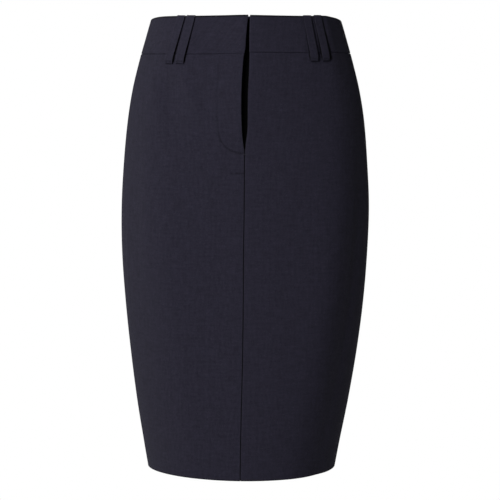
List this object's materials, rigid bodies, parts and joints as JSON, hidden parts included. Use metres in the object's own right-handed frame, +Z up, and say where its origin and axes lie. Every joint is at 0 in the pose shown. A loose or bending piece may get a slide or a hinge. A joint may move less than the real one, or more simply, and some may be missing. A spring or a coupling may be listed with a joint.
{
  "type": "pencil skirt",
  "caption": "Knee-length pencil skirt in dark suiting, with a shaped waistband, fly front, paired belt loops, centre front and centre back seams and a back vent.",
  "frame": {"origin": "middle of the waist opening, level with the waistband's top edge, where the wearer's waist holds the skirt up", "axes": "+Z up, towards the waist; the front faces -Y; the wearer's left is at +X"},
  "size_m": [0.3491, 0.2644, 0.6373],
  "materials": {
    "suiting": "matt plain-weave suiting in dark navy, lightly heathered",
    "zip_tape": "woven black zip tape with a nylon coil",
    "dark_metal": "dark nickel"
  },
  "bodies": {
    "root": {"front_right": "suiting", "front_left": "suiting", "back_right": "suiting", "back_left": "suiting", "waistband_right": "suiting", "waistband_left": "suiting", "loop_right_outer": "suiting", "loop_right_inner": "suiting", "loop_left_inner": "suiting", "loop_left_outer": "suiting", "loop_back_right": "suiting", "loop_back_left": "suiting", "zip": "zip_tape", "zip_slider": "dark_metal", "waist_hook": "dark_metal", "waist_bar": "dark_metal"}
  },
  "joints": []
}
